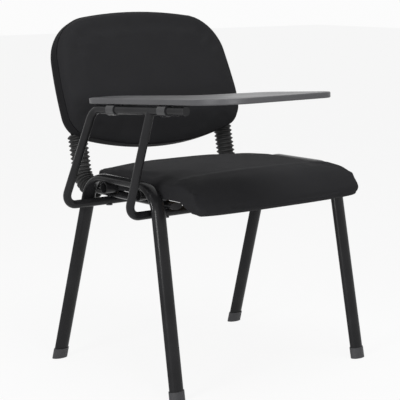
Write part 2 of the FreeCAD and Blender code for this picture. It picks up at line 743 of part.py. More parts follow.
pad_form = feature("seat_pad_form", seat_pad())
pad_rooms = [board_body("seat_board_room", size("soft_gap"))]
for word, y in CROSS_PLACES.items():
    place = Placement(Vector(-CROSS_HALF, y, CROSS_HEIGHT), ALONG_X)
    radius = "Sizes.cross_diameter / 2 + Sizes.soft_gap"
    tube_room = bound("Part::Cylinder", "seat_tube_room_" + word, place, Radius=radius)
    tube_room.Height = 2 * CROSS_HALF
    pad_rooms.append(tube_room)
node(cut("seat_pad_cut", pad_form, pad_rooms), "seat_cushion")


# Bolts and threaded inserts

def bolt(at, direction, diameter, head, head_height, length):
    """A round-headed bolt: its head's seat is at a place and its shank runs along a direction"""
    shank = Part.makeCylinder(diameter / 2, length, at, direction)
    cap = Part.makeCylinder(head / 2, head_height, at - direction * head_height, direction)
    return cap.fuse(shank)


def insert(at, direction):
    """A threaded insert: flange top at a place, barrel along a direction, bolt bore through it"""
    flange = Part.makeCylinder(size("insert_flange") / 2, size("insert_flange_height"), at, direction)
    barrel_length = size("board_thickness") - size("insert_flange_height")
    barrel = Part.makeCylinder(size("insert_barrel") / 2, barrel_length, at, direction)
    bore = Part.makeCylinder(size("bolt_diameter") / 2, 2 * barrel_length, at, direction)
    return flange.fuse(barrel).cut(bore)


seat_bolt_shapes = []
seat_insert_shapes = []
for place in SEAT_BOLTS:
    head_seat = Vector(place.x, place.y, CROSS_HEIGHT - size("cross_diameter") / 2)
    reach = size("cross_diameter") + size("board_thickness") - 2 * size("insert_flange_height")
    parts = (size("bolt_diameter"), size("bolt_head"), size("bolt_head_height"), reach)
    seat_bolt_shapes.append(bolt(head_seat, Z_AXIS, *parts))
    insert_top = Vector(place.x, place.y, BOARD_BOTTOM + size("board_thickness"))
    seat_insert_shapes.append(insert(insert_top, -Z_AXIS))
node(feature("seat_bolts", Part.makeCompound(seat_bolt_shapes)), "seat_bolts")
node(feature("seat_inserts", Part.makeCompound(seat_insert_shapes)), "seat_inserts")


# Back: a dished shell behind, a flat board inside its rim and a crowned pad in front

FRONT_FACE = -size("upright_deep") / 2
BOARD_FACE = FRONT_FACE - size("back_board_thickness")
SHELL_REAR = size("upright_deep") / 2 + size("shell_room") + size("shell_wall")
RIM_FACE = SHELL_REAR - size("shell_depth")


def meeting(centre_one, reach_one, centre_two, reach_two, outer_sign, up_sign):
    """Centre of a corner arc: where two circles meet, on the chosen side"""
    apart = centre_two - centre_one
    gap = apart.Length
    along = (gap ** 2 + reach_one ** 2 - reach_two ** 2) / (2 * gap)
    off = math.sqrt(reach_one ** 2 - along ** 2)
    unit = apart * (1 / gap)
    normal = Vector(-unit.y, unit.x, 0)
    choices = (centre_one + unit * along + normal * off, centre_one + unit * along - normal * off)
    return max(choices, key=lambda place: outer_sign * place.x + up_sign * place.y)


def toward(centre, place, radius):
    """The point of a circle in the direction of a place"""
    return centre + (place - centre).normalize() * radius


def back_outline(inset, behind):
    """Outline of the back as eight tangent arcs, inset by a distance, at a depth"""
    bottom_radius = size("back_bottom_radius") - inset
    top_radius = size("back_top_radius") - inset
    side_radius = size("back_side_radius") - inset
    low = max(size("back_low_corner") - inset, size("back_least_corner"))
    high = max(size("back_high_corner") - inset, size("back_least_corner"))
    bottom = Vector(0, size("back_bottom") + inset, 0)
    top = Vector(0, size("back_top") - inset, 0)
    widest = Vector(size("back_half_width") - inset, size("back_widest"), 0)
    bottom_centre = bottom + Y_AXIS * bottom_radius
    top_centre = top - Y_AXIS * top_radius
    side_centre = widest - X_AXIS * side_radius
    low_centre = meeting(bottom_centre, bottom_radius - low, side_centre, side_radius - low, 1, -1)
    high_centre = meeting(top_centre, top_radius - high, side_centre, side_radius - high, 1, 1)
    low_start = toward(bottom_centre, low_centre, bottom_radius)
    low_end = toward(side_centre, low_centre, side_radius)
    high_start = toward(side_centre, high_centre, side_radius)
    high_end = toward(top_centre, high_centre, top_radius)
    low_middle = toward(low_centre, (low_start + low_end) * 0.5, low)
    high_middle = toward(high_centre, (high_start + high_end) * 0.5, high)

    def mirror(place):
        return Vector(-place.x, place.y, 0)

    flat = [
        (mirror(low_start), bottom, low_start),
        (low_start, low_middle, low_end),
        (low_end, widest, high_start),
        (high_start, high_middle, high_end),
        (high_end, top, mirror(high_end)),
        (mirror(high_end), mirror(high_middle), mirror(high_start)),
        (mirror(high_start), mirror(widest), mirror(low_end)),
        (mirror(low_end), mirror(low_middle), mirror(low_start)),
    ]
    pieces = []
    for arc in flat:
        pieces.append(Part.Arc(*[on_back(place.x, place.y, behind) for place in arc]))
    return wire_of(pieces)


def back_slab(inset, front, rear):
    """A slab with the back's outline between two depths"""
    return Part.Face(back_outline(inset, front)).extrude(BEHIND * (rear - front))


def back_shell():
    """The dished shell with its rounded rear edge and its slots for the uprights"""
    outer = back_slab(0, RIM_FACE, SHELL_REAR)
    rear_edges = [edge for edge in outer.Edges if depth_of(edge.CenterOfMass) > SHELL_REAR - size("soft_gap")]
    outer = outer.makeFillet(size("shell_round"), rear_edges)
    wall = size("shell_wall")
    inner = back_slab(wall, RIM_FACE - size("overrun"), SHELL_REAR - wall)
    inner_rear = SHELL_REAR - wall
    inner_edges = [edge for edge in inner.Edges if depth_of(edge.CenterOfMass) > inner_rear - size("soft_gap")]
    inner = inner.makeFillet(size("shell_round") - wall, inner_edges)
    shell = outer.cut(inner)
    for side in (RIGHT, LEFT):
        shell = shell.cut(upright_slot(side)).cut(bellows_room(side))
    return shell


def bellows_room(side):
    """Room round the top end of a bellows, where it enters the back from below"""
    radius = size("bellows_crest") / 2 + size("shell_room")
    middle = X_AXIS * side * UPRIGHT_X
    low = CORNER + middle + UPWARD * size("back_bottom")
    lower = Part.makeCylinder(radius, size("upright_knee") - size("back_bottom") + size("shell_room"), low, UPWARD)
    start = size("upright_knee") - size("overrun")
    reach = size("bellows_top") + size("shell_room") - start
    return lower.fuse(Part.makeCylinder(radius, reach, on_back(0, start, 0) + middle, UP_BACK))


def upright_slot(side):
    """Room for an upright where it enters the back from below"""
    wide = size("upright_wide") / 2 + size("shell_room")
    deep = size("upright_deep") / 2 + size("shell_room")
    oval = Part.Ellipse(Vector(), wide, deep).toShape()
    face = Part.Face(Part.Wire([oval]))
    lower = face.copy()
    start = CORNER + X_AXIS * side * UPRIGHT_X + UPWARD * size("back_bottom")
    lower.Placement = Placement(start, steady_turn(UPWARD))
    lower = lower.extrude(UPWARD * (size("upright_knee") - size("back_bottom") + size("overrun")))
    upper = face.copy()
    upper.Placement = Placement(on_back(side * UPRIGHT_X, size("upright_knee"), 0), steady_turn(UP_BACK))
    upper = upper.extrude(UP_BACK * (size("back_low_bolt") - size("upright_knee")))
    return lower.fuse(upper)


def depth_of(place):
    """Distance of a place behind the upright's middle"""
    return (place - KNEE).dot(BEHIND)


BACK_BOLTS = []
for word in ("low", "high"):
    for side in (RIGHT, LEFT):
        BACK_BOLTS.append((side * UPRIGHT_X, size("back_%s_bolt" % word)))


def back_board():
    """The flat board with its insert holes"""
    inset = size("shell_wall") + size("back_board_play")
    board = back_slab(inset, BOARD_FACE, FRONT_FACE)
    for x, along in BACK_BOLTS:
        barrel_depth = 2 * size("back_board_thickness")
        start = on_back(x, along, BOARD_FACE - size("overrun"))
        barrel = Part.makeCylinder(size("insert_barrel") / 2, barrel_depth, start, BEHIND)
        flange_depth = size("overrun") + size("insert_flange_height")
        flange = Part.makeCylinder(size("insert_flange") / 2, flange_depth, start, BEHIND)
        board = board.cut(barrel).cut(flange)
    for side in (RIGHT, LEFT):
        board = board.cut(bellows_room(side))
    return board


# Insets and depths of the back pad's sections, as shares of its thickness
BACK_PAD_SHARES = ((0.04, 0.0), (0.0, 0.25), (0.07, 0.52), (0.32, 0.79), (0.95, 0.94), (1.8, 1.0))


def back_pad():
    """The crowned pad: its core fills the shell, and its face is widest a little ahead of the rim"""
    thickness = size("back_pad_thickness")
    front = RIM_FACE - size("soft_gap")
    wires = []
    for inset_share, depth_share in BACK_PAD_SHARES:
        wires.append(back_outline(inset_share * thickness, front - depth_share * thickness))
    core = back_slab(size("shell_wall") + size("soft_gap"), front, BOARD_FACE - size("soft_gap"))
    for side in (RIGHT, LEFT):
        core = core.cut(bellows_room(side))
    return Part.makeLoft(wires, True, False).fuse(core)


node(feature("back_shell", back_shell()), "back_shell")
node(feature("back_board", back_board()), "back_board")
node(feature("back_cushion", back_pad()), "back_cushion")

back_bolt_shapes = []
back_insert_shapes = []
for x, along in BACK_BOLTS:
    head_seat = on_back(x, along, size("upright_deep") / 2)
    reach = size("upright_deep") + size("back_board_thickness") - 2 * size("insert_flange_height")
    head_height = size("back_bolt_head_height")
    parts = (size("bolt_diameter"), size("bolt_head"), head_height, reach)
    back_bolt_shapes.append(bolt(head_seat, -BEHIND, *parts))
    back_insert_shapes.append(insert(on_back(x, along, BOARD_FACE), BEHIND))
node(feature("back_bolts", Part.makeCompound(back_bolt_shapes)), "back_bolts")
node(feature("back_inserts", Part.makeCompound(back_insert_shapes)), "back_inserts")


# Tablet arm: a bent round tube with a welded front post, hooked under the seat on the right

TILT = math.radians(size("tablet_tilt"))
AHEAD = Vector(0, -math.cos(TILT), math.sin(TILT))
ABOVE = Vector(0, math.sin(TILT), math.cos(TILT))
HINGE = Vector(-size("arm_top_side"), size("arm_top_rear"), size("arm_top_height"))


def on_arm(inward, ahead, above):
    """A place by its distances from the rear top corner of the arm"""
    return HINGE + X_AXIS * inward + AHEAD * ahead + ABOVE * above


arm_rear_inner = Vector(-size("arm_inner"), ARM_PLACES["rear"], ARM_HEIGHT)
arm_rear_corner = Vector(-size("arm_rear_hook"), ARM_PLACES["rear"], ARM_HEIGHT)
arm_front_inner = Vector(-size("arm_inner"), ARM_PLACES["front"], ARM_HEIGHT)
arm_front_corner = Vector(-size("arm_front_hook"), ARM_PLACES["front"], ARM_HEIGHT)
arm_front_end = on_arm(0, size("arm_top_length"), 0)
arm_post_top = on_arm(0, size("arm_post_place"), 0)
hook = size("arm_hook_bend")
tube_points = [arm_rear_inner, arm_rear_corner, HINGE, arm_front_end]
tube_shape, tube_envelope, tube_length = round_tube(
    tube_points, [0, hook, size("arm_top_bend"), 0], size("arm_diameter"), size("arm_wall"))
post_points = [arm_front_inner, arm_front_corner, arm_post_top]
post_shape, post_envelope, post_length = round_tube(
    post_points, [0, hook, 0], size("arm_diameter"), size("arm_wall"))
print("arm tube %.0f mm long, arm post %.0f mm long" % (tube_length, post_length))

arm_drills = []
for word, y in ARM_PLACES.items():
    drill = upright_drill("arm_drill_" + word, RIGHT * UPRIGHT_X, y, "Sizes.arm_bolt_diameter / 2 + Sizes.bolt_play")
    arm_drills.append(drill)
node(cut("arm_tube_cut", feature("arm_tube_form", tube_shape), [arm_drills[0]]), "arm_tube")
arm_envelope = feature("arm_tube_envelope", tube_envelope)
post_form = feature("arm_post_form", post_shape)
node(cut("arm_post_cut", post_form, [arm_envelope, arm_drills[1]]), "arm_post")

PLUG_PLACES = {
    "arm_plug_rear": (arm_rear_inner, X_AXIS),
    "arm_plug_front": (arm_front_inner, X_AXIS),
    "arm_plug_top": (arm_front_end, AHEAD),
}
for name, (at, outward) in PLUG_PLACES.items():
    diameter = size("arm_diameter")
    node(feature(name, oval_plug(diameter, diameter, size("arm_wall"), at, outward)), name)


# Arm bolts through the arm runs and the right upright, with nuts above

def hexagon(width, height, at):
    """A hexagonal prism standing on a place"""
    corners = []
    for index in range(7):
        angle = math.radians(60 * index)
        corners.append(Vector(math.cos(angle), math.sin(angle), 0) * (width / 2 / math.cos(math.pi / 6)))
    prism = Part.Face(Part.makePolygon(corners)).extrude(Z_AXIS * height)
    prism.translate(at)
    return prism


arm_bolt_shapes = []
arm_nut_shapes = []
for y in ARM_PLACES.values():
    foot = Vector(RIGHT * UPRIGHT_X, y, ARM_HEIGHT - size("arm_diameter") / 2)
    top = Vector(foot.x, y, UPRIGHT_HEIGHT + size("upright_deep") / 2)
    nut_height = size("arm_nut_height")
    parts = (size("arm_bolt_diameter"), size("arm_bolt_head"), size("arm_bolt_head_height"))
    arm_bolt_shapes.append(bolt(foot, Z_AXIS, *parts, top.z - foot.z + nut_height + size("plug_flange")))
    nut = hexagon(size("arm_bolt_head"), nut_height, top)
    bore = Part.makeCylinder(size("arm_bolt_diameter") / 2, nut_height, top, Z_AXIS)
    arm_nut_shapes.append(nut.cut(bore))
node(feature("arm_bolts", Part.makeCompound(arm_bolt_shapes)), "arm_bolts")
node(feature("arm_nuts", Part.makeCompound(arm_nut_shapes)), "arm_nuts")


# Hinge clips: straps round the arm's top run with a tail screwed under the tablet

ARM_TURN = Rotation(X_AXIS, ABOVE, -AHEAD, "XYZ")
CLIP_PLACES = {"rear": size("clip_rear_place"), "front": size("clip_front_place")}
SCREW_SHARES = (0.44, 0.8)
SCREW_REACHES = [size("clip_tail") * share for share in SCREW_SHARES]


def hinge_clip(name, ahead):
    """A strap with its bore and its tail"""
    body = doc.addObject("PartDesign::Body", name + "_body")
    bore_radius = size("arm_diameter") / 2 + size("clip_play")
    outer_radius = bore_radius + size("clip_wall")
    lift = size("tablet_lift")
    under = lift - size("clip_wall")
    tail = size("clip_tail")
    neck = math.sqrt(outer_radius ** 2 - under ** 2)
    outline = sketch_on(body, "XY_Plane", name + "_outline")
    shoulder = -math.sqrt(outer_radius ** 2 - lift ** 2) if outer_radius > lift else 0
    top_start = Vector(shoulder, min(lift, outer_radius), 0)
    neck_point = Vector(neck, under, 0)
    tail_low = Vector(tail, under, 0)
    tail_high = Vector(tail, top_start.y, 0)
    outline.addGeometry(Part.Arc(top_start, Vector(0, -outer_radius, 0), neck_point))
    outline.addGeometry(Part.LineSegment(neck_point, tail_low))
    outline.addGeometry(Part.LineSegment(tail_low, tail_high))
    outline.addGeometry(Part.LineSegment(tail_high, top_start))
    hole = outline.addGeometry(Part.Circle(Vector(), Z_AXIS, bore_radius))
    outline.addConstraint(Sketcher.Constraint("Radius", hole, bore_radius))
    outline.renameConstraint(0, "bore_radius")
    outline.setExpression("Constraints.bore_radius", "Sizes.arm_diameter / 2 + Sizes.clip_play")
    pad = body.newObject("PartDesign::Pad", name + "_pad")
    pad.Profile = outline
    pad.SideType = "Symmetric"
    pad.setExpression("Length", "Sizes.clip_length")
    body.Tip = pad
    body.Placement = Placement(on_arm(0, ahead, 0), ARM_TURN)
    return body


def arm_drill(name, inward, ahead, radius):
    """A cutter square to the tablet"""
    item = bound("Part::Cylinder", name, None, Radius=radius, Height="2 * Sizes.tablet_lift")
    item.Placement = Placement(on_arm(inward, ahead, 0), Rotation(Z_AXIS, ABOVE))
    return item


screw_shapes = []
SCREW_HOLES = []
for word, ahead in CLIP_PLACES.items():
    name = "hinge_clip_" + word
    drills = []
    for number, inward in enumerate(SCREW_REACHES):
        if inward > size("arm_diameter") / 2:
            drill_name = "%s_drill_%d" % (name, number)
            drills.append(arm_drill(drill_name, inward, ahead, "Sizes.screw_diameter / 2"))
            under = on_arm(inward, ahead, size("tablet_lift") - size("clip_wall"))
            parts = (size("screw_diameter"), size("screw_head"), size("screw_head_height"))
            screw_shapes.append(bolt(under, ABOVE, *parts, size("clip_wall") + size("screw_length")))
            SCREW_HOLES.append((inward, ahead))
    node(cut(name + "_cut", hinge_clip(name, ahead), drills), name)
node(feature("tablet_screws", Part.makeCompound(screw_shapes)), "tablet_screws")


# Stops welded to the arm tube, which hold the tablet level

def stop(name, ahead):
    """A gusset on the tube under a small level plate"""
    top = size("tablet_lift") - size("stop_gap")
    plate = size("stop_plate")
    width = size("stop_width")
    reach = size("stop_reach")
    tube = size("arm_diameter") / 2
    flat = Part.makeBox(reach - tube / 2, width, plate)
    flat.Placement = Placement(on_arm(tube / 2, ahead + width, top - plate), Rotation(X_AXIS, -AHEAD, ABOVE, "XYZ"))
    corners = [(0, -tube), (reach, top - plate), (0, top - plate), (0, -tube)]
    places = [on_arm(inward, ahead + width / 2 - plate / 2, above) for inward, above in corners]
    gusset = Part.Face(Part.makePolygon(places)).extrude(AHEAD * plate)
    return feature(name + "_form", flat.fuse(gusset).removeSplitter())


for word, ahead in CLIP_PLACES.items():
    name = "tablet_stop_" + word
    start = ahead + size("clip_length") / 2 + size("stop_step")
    node(cut(name + "_cut", stop(name, start), [arm_envelope]), name)


# Writing tablet: a padded outline with rounded edges and blind screw holes

# Radius of the tablet's two rear corners, as a share of its rear width
TABLET_REAR_SHARE = 0.45


def tablet():
    """The tablet body, modelled flat and then laid on the arm"""
    body = doc.addObject("PartDesign::Body", "tablet_body")
    outer = -size("tablet_overhang")
    front = size("tablet_front")
    rear = -size("tablet_back")
    inner = outer + size("tablet_width")
    rear_inner = outer + size("tablet_rear_width")
    neck = size("tablet_neck")
    flare = outer + size("tablet_flare_width")
    rear_corner = size("tablet_rear_width") * TABLET_REAR_SHARE
    corners = [
        (outer, rear, rear_corner),
        (outer, front - size("tablet_front_skew"), size("tablet_outer_corner")),
        (inner, front, size("tablet_inner_corner")),
        (flare, neck + size("tablet_flare"), size("tablet_flare_corner")),
        (outer + size("tablet_neck_width"), neck, size("tablet_neck_corner")),
        (rear_inner, rear, rear_corner),
    ]
    places = [Vector(inward, -ahead, 0) for inward, ahead, radius in corners]
    radii = [radius for inward, ahead, radius in corners]
    outline = sketch_on(body, "XY_Plane", "tablet_outline")
    for piece in rounded(places, radii, closed=True):
        outline.addGeometry(piece)
    pad = body.newObject("PartDesign::Pad", "tablet_pad")
    pad.Profile = outline
    pad.setExpression("Length", "Sizes.tablet_thickness")
    body.Tip = pad
    doc.recompute()
    rim = []
    for index, edge in enumerate(pad.Shape.Edges, 1):
        box = edge.BoundBox
        if box.ZLength < size("tablet_edge"):
            rim.append("Edge%d" % index)
    fillet = body.newObject("PartDesign::Fillet", "tablet_rim")
    fillet.Base = (pad, rim)
    fillet.setExpression("Radius", "Sizes.tablet_edge")
    body.Tip = fillet
    turn = Rotation(X_AXIS, -AHEAD, ABOVE, "XYZ")
    body.Placement = Placement(on_arm(0, 0, size("tablet_lift")), turn)
    return body


tablet_drills = []
for number, (inward, ahead) in enumerate(SCREW_HOLES):
    drill = bound("Part::Cylinder", "tablet_hole_%d" % number, None, Radius="Sizes.screw_diameter / 2",
                  Height="Sizes.screw_length + Sizes.overrun")
    start = on_arm(inward, ahead, size("tablet_lift") - size("overrun"))
    drill.Placement = Placement(start, Rotation(Z_AXIS, ABOVE))
    tablet_drills.append(drill)
node(cut("tablet_cut", tablet(), tablet_drills), "tablet")


# The whole chair moves so that the origin is on the floor at the middle of its box

doc.recompute()
whole = FreeCAD.BoundBox()
for item in NODES:
    whole.add(item.Shape.optimalBoundingBox(False))
SHIFT = Vector(-whole.Center.x, -whole.Center.y, -whole.ZMin)
for item in NODES:
    item.Placement = Placement(SHIFT, Rotation()).multiply(item.Placement)
print("moved by x %.3f y %.3f z %.3f mm" % (SHIFT.x, SHIFT.y, SHIFT.z))


# Checks and files

doc.recompute()
for item in doc.Objects:
    if "Invalid" in item.State or "Error" in item.State:
        raise RuntimeError("%s did not build: %s" % (item.Name, item.State))
for item in NODES:
    if item.Shape.isNull() or not item.Shape.isValid() or not item.Shape.Solids:
        raise RuntimeError("%s has no valid solid" % item.Label)
os.makedirs("parts", exist_ok=True)
for item in NODES:
    item.Shape.exportStep("parts/%s.step" % item.Label)
    box = item.Shape.optimalBoundingBox(False)
    print("%-22s %2d solids %10.0f mm3  x %6.1f %6.1f  y %6.1f %6.1f  z %6.1f %6.1f" % (
        item.Label, len(item.Shape.Solids), item.Shape.Volume,
        box.XMin, box.XMax, box.YMin, box.YMax, box.ZMin, box.ZMax))
print("%d nodes" % len(NODES))
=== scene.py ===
import json
import math

import bmesh
import bpy
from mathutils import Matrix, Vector, noise


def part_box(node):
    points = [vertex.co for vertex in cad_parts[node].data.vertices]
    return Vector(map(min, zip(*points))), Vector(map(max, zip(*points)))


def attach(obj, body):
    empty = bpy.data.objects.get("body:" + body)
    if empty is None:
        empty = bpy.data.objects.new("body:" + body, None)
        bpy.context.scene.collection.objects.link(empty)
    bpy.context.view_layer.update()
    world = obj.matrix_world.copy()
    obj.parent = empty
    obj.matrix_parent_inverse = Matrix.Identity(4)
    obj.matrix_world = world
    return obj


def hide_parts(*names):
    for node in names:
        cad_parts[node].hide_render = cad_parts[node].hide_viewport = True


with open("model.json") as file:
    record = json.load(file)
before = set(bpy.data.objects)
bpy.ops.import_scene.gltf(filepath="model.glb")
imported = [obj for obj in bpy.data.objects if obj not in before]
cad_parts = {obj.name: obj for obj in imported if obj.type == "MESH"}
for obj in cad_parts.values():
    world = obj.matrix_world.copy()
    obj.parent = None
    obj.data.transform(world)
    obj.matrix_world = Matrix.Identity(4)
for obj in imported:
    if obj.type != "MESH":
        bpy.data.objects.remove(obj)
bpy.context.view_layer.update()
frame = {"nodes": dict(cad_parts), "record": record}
nodes = frame["nodes"]
scene = bpy.context.scene
MM = 0.001

# Camera at the photograph's viewing angle

CAMERA_PLACE = Vector((-1.923405, -2.299207, 0.8787))
CAMERA_TILT = 80.47
CAMERA_TURN = -39.43
CAMERA_LENS = 123.0
CAMERA_SENSOR = 36.0
CAMERA_NEAR = 0.05
CAMERA_FAR = 60.0


def add_camera():
    """The camera, with no shift and no depth of field"""
    data = bpy.data.cameras.new("camera")
    data.lens = CAMERA_LENS
    data.sensor_width = CAMERA_SENSOR
    data.clip_start = CAMERA_NEAR
    data.clip_end = CAMERA_FAR
    camera = bpy.data.objects.new("camera", data)
    camera.location = CAMERA_PLACE
    camera.rotation_euler = (math.radians(CAMERA_TILT), 0, math.radians(CAMERA_TURN))
    scene.collection.objects.link(camera)
    scene.camera = camera


add_camera()


# Material building blocks

class Shader:
    """A material's node tree with short ways to add nodes"""

    def __init__(self, name, color, roughness, metallic=0.0, specular=0.5):
        self.material = bpy.data.materials.new(name)
        self.material.use_nodes = True
        self.tree = self.material.node_tree
        self.surface = self.tree.nodes["Principled BSDF"]
        self.set("Base Color", (*color, 1.0))
        self.set("Roughness", roughness)
        self.set("Metallic", metallic)
        self.set("Specular IOR Level", specular)
        self.place = self.add("ShaderNodeTexCoord").outputs["Object"]

    def set(self, socket, value):
        """Sets one socket of the surface shader"""
        self.surface.inputs[socket].default_value = value

    def add(self, kind, **settings):
        """Adds a node and sets its properties"""
        item = self.tree.nodes.new(kind)
        for key, value in settings.items():
            setattr(item, key, value)
        return item

    def link(self, source, target):
        """Joins an output to an input"""
        self.tree.links.new(source, target)

    def stretched(self, scales):
        """The object coordinates multiplied along each axis"""
        item = self.add("ShaderNodeMapping")
        item.inputs["Scale"].default_value = scales
        self.link(self.place, item.inputs["Vector"])
        return item.outputs["Vector"]

    def noise(self, scale, detail=2.0, rough=0.5, vector=None):
        """A noise value about one half"""
        item = self.add("ShaderNodeTexNoise")
        item.inputs["Scale"].default_value = scale
        item.inputs["Detail"].default_value = detail
        item.inputs["Roughness"].default_value = rough
        self.link(vector or self.place, item.inputs["Vector"])
        return item.outputs["Fac"]

    def cells(self, scale, vector=None):
        """Distance to the nearest of many scattered points"""
        item = self.add("ShaderNodeTexVoronoi")
        item.inputs["Scale"].default_value = scale
        self.link(vector or self.place, item.inputs["Vector"])
        return item.outputs["Distance"]

    def remap(self, value, low, high, to_low, to_high):
        """A value moved from one range to another"""
        item = self.add("ShaderNodeMapRange")
        item.inputs["From Min"].default_value = low
        item.inputs["From Max"].default_value = high
        item.inputs["To Min"].default_value = to_low
        item.inputs["To Max"].default_value = to_high
        self.link(value, item.inputs["Value"])
        return item.outputs["Result"]

    def math(self, operation, first, second=None):
        """A math node on values or outputs"""
        item = self.add("ShaderNodeMath", operation=operation)
        for index, value in enumerate((first, second)):
            if value is None:
                continue
            if isinstance(value, (int, float)):
                item.inputs[index].default_value = value
            else:
                self.link(value, item.inputs[index])
        return item.outputs["Value"]

    def roughen(self, value):
        """Roughness that follows an output"""
        self.link(value, self.surface.inputs["Roughness"])

    def shade(self, value, dark, light):
        """Base colour between two colours"""
        item = self.add("ShaderNodeMix", data_type="RGBA")
        item.inputs["A"].default_value = (*dark, 1.0)
        item.inputs["B"].default_value = (*light, 1.0)
        self.link(value, item.inputs["Factor"])
        self.link(item.outputs["Result"], self.surface.inputs["Base Color"])

    def bump(self, heights):
        """A chain of bumps: each a height output, a strength and a distance in metres"""
        normal = None
        for height, strength, distance in heights:
            item = self.add("ShaderNodeBump")
            item.inputs["Strength"].default_value = strength
            item.inputs["Distance"].default_value = distance
            self.link(height, item.inputs["Height"])
            if normal:
                self.link(normal, item.inputs["Normal"])
            normal = item.outputs["Normal"]
        self.link(normal, self.surface.inputs["Normal"])


def lighter(color, factor):
    """A colour multiplied by a factor"""
    return tuple(channel * factor for channel in color)


# Colours, linear

PAINT = (0.016, 0.016, 0.017)
FOOT = (0.045, 0.045, 0.048)
PLUG = (0.02, 0.02, 0.021)
CLIP = (0.022, 0.022, 0.024)
SHELL = (0.012, 0.012, 0.013)
RUBBER = (0.024, 0.024, 0.024)
FABRIC = (0.02, 0.02, 0.0215)
STEEL = (0.09, 0.09, 0.095)
TABLET = (0.07, 0.07, 0.074)
WOOD_LIGHT = (0.46, 0.32, 0.19)
WOOD_DARK = (0.3, 0.19, 0.105)


def painted_steel():
    """Gloss black powder coat: orange peel, and scuffs that dull the lowest part of the legs"""
    made = Shader("black_paint", PAINT, roughness=0.24, specular=0.1)
    made.set("Coat Weight", 0.06)
    made.set("Coat Roughness", 0.08)
    peel = made.noise(scale=420.0, detail=2.0)
    patches = made.noise(scale=14.0, detail=3.0)
    height = made.add("ShaderNodeSeparateXYZ")
    made.link(made.place, height.inputs["Vector"])
    scuffed = made.remap(height.outputs["Z"], low=0.02, high=0.12, to_low=0.12, to_high=0.0)
    streaks = made.noise(scale=60.0, detail=4.0, rough=0.6, vector=made.stretched((1.0, 1.0, 0.12)))
    wear = made.math("MULTIPLY", scuffed, streaks)
    rough = made.math("ADD", made.remap(patches, low=0.3, high=0.7, to_low=0.19, to_high=0.27), wear)
    made.roughen(rough)
    shares = made.remap(patches, low=0.3, high=0.7, to_low=0.0, to_high=1.0)
    made.shade(shares, lighter(PAINT, factor=0.85), lighter(PAINT, factor=1.2))
    made.bump([(peel, 0.05, 0.0006)])
    return made.material


GLOSS_DROP = 0.05
GLOSS_RISE = 0.06
FINE_GRAIN_SHARE = 1.7


def moulded_plastic(name, color, roughness, grain, depth, specular):
    """Injection-moulded plastic with a fine spark-eroded grain and slow changes of gloss"""
    made = Shader(name, color, roughness=roughness, specular=specular)
    grains = made.cells(grain)
    fine = made.noise(scale=grain * FINE_GRAIN_SHARE, detail=3.0, rough=0.65)
    slow = made.noise(scale=11.0, detail=3.0)
    rough = made.remap(slow, low=0.3, high=0.7, to_low=roughness - GLOSS_DROP, to_high=roughness + GLOSS_RISE)
    made.roughen(rough)
    shares = made.remap(slow, low=0.25, high=0.75, to_low=0.0, to_high=1.0)
    made.shade(shares, lighter(color, factor=0.9), lighter(color, factor=1.12))
    made.bump([(grains, 0.25, depth), (fine, 0.2, depth)])
    return made.material


def rubber():
    """Matt black moulded rubber with a dusty bloom"""
    made = Shader("bellows_rubber", RUBBER, roughness=0.5, specular=0.2)
    bloom = made.noise(scale=90.0, detail=4.0, rough=0.6)
    slow = made.noise(scale=24.0, detail=2.0)
    made.roughen(made.remap(bloom, low=0.3, high=0.7, to_low=0.42, to_high=0.6))
    shares = made.remap(slow, low=0.3, high=0.7, to_low=0.0, to_high=1.0)
    made.shade(shares, lighter(RUBBER, factor=0.8), lighter(RUBBER, factor=1.5))
    made.bump([(made.noise(scale=900.0, detail=3.0), 0.15, 0.0004)])
    return made.material


def blackened_steel():
    """Blackened fasteners with small bright scratches"""
    made = Shader("dark_steel", STEEL, roughness=0.38, metallic=1.0)
    scratches = made.noise(scale=700.0, detail=3.0, rough=0.7, vector=made.stretched((1.0, 1.0, 0.15)))
    made.roughen(made.remap(scratches, low=0.3, high=0.7, to_low=0.3, to_high=0.5))
    shares = made.remap(scratches, low=0.35, high=0.75, to_low=0.0, to_high=1.0)
    made.shade(shares, lighter(STEEL, factor=0.7), lighter(STEEL, factor=1.7))
    made.bump([(scratches, 0.12, 0.0002)])
    return made.material


def plywood():
    """Beech plywood: long figure across the seat, fine pores and a thin matt lacquer"""
    made = Shader("plywood", WOOD_LIGHT, roughness=0.55, specular=0.35)
    figure = made.noise(scale=9.0, detail=5.0, rough=0.6, vector=made.stretched((0.35, 4.0, 8.0)))
    pores = made.noise(scale=260.0, detail=4.0, rough=0.7, vector=made.stretched((0.08, 1.0, 1.0)))
    tone = made.math("ADD", made.math("MULTIPLY", figure, 0.7), made.math("MULTIPLY", pores, 0.3))
    shares = made.remap(tone, low=0.35, high=0.65, to_low=0.0, to_high=1.0)
    made.shade(shares, WOOD_DARK, WOOD_LIGHT)
    made.roughen(made.remap(pores, low=0.3, high=0.7, to_low=0.48, to_high=0.66))
    made.bump([(pores, 0.25, 0.0004)])
    return made.material


THREAD = 0.0011


def weave_height(made, first, second):
    """Height of a plain weave whose threads run along two coordinates"""
    along = made.math("MULTIPLY", first, math.pi / THREAD)
    across = made.math("MULTIPLY", second, math.pi / THREAD)
    warp = made.math("ABSOLUTE", made.math("SINE", along))
    weft = made.math("ABSOLUTE", made.math("SINE", across))
    signs = made.math("MULTIPLY", made.math("SINE", made.math("MULTIPLY", along, 0.5)),
                      made.math("SINE", made.math("MULTIPLY", across, 0.5)))
    over = made.math("GREATER_THAN", signs, 0.0)
    under = made.math("SUBTRACT", 1.0, over)
    return made.math("ADD", made.math("MULTIPLY", warp, over), made.math("MULTIPLY", weft, under))


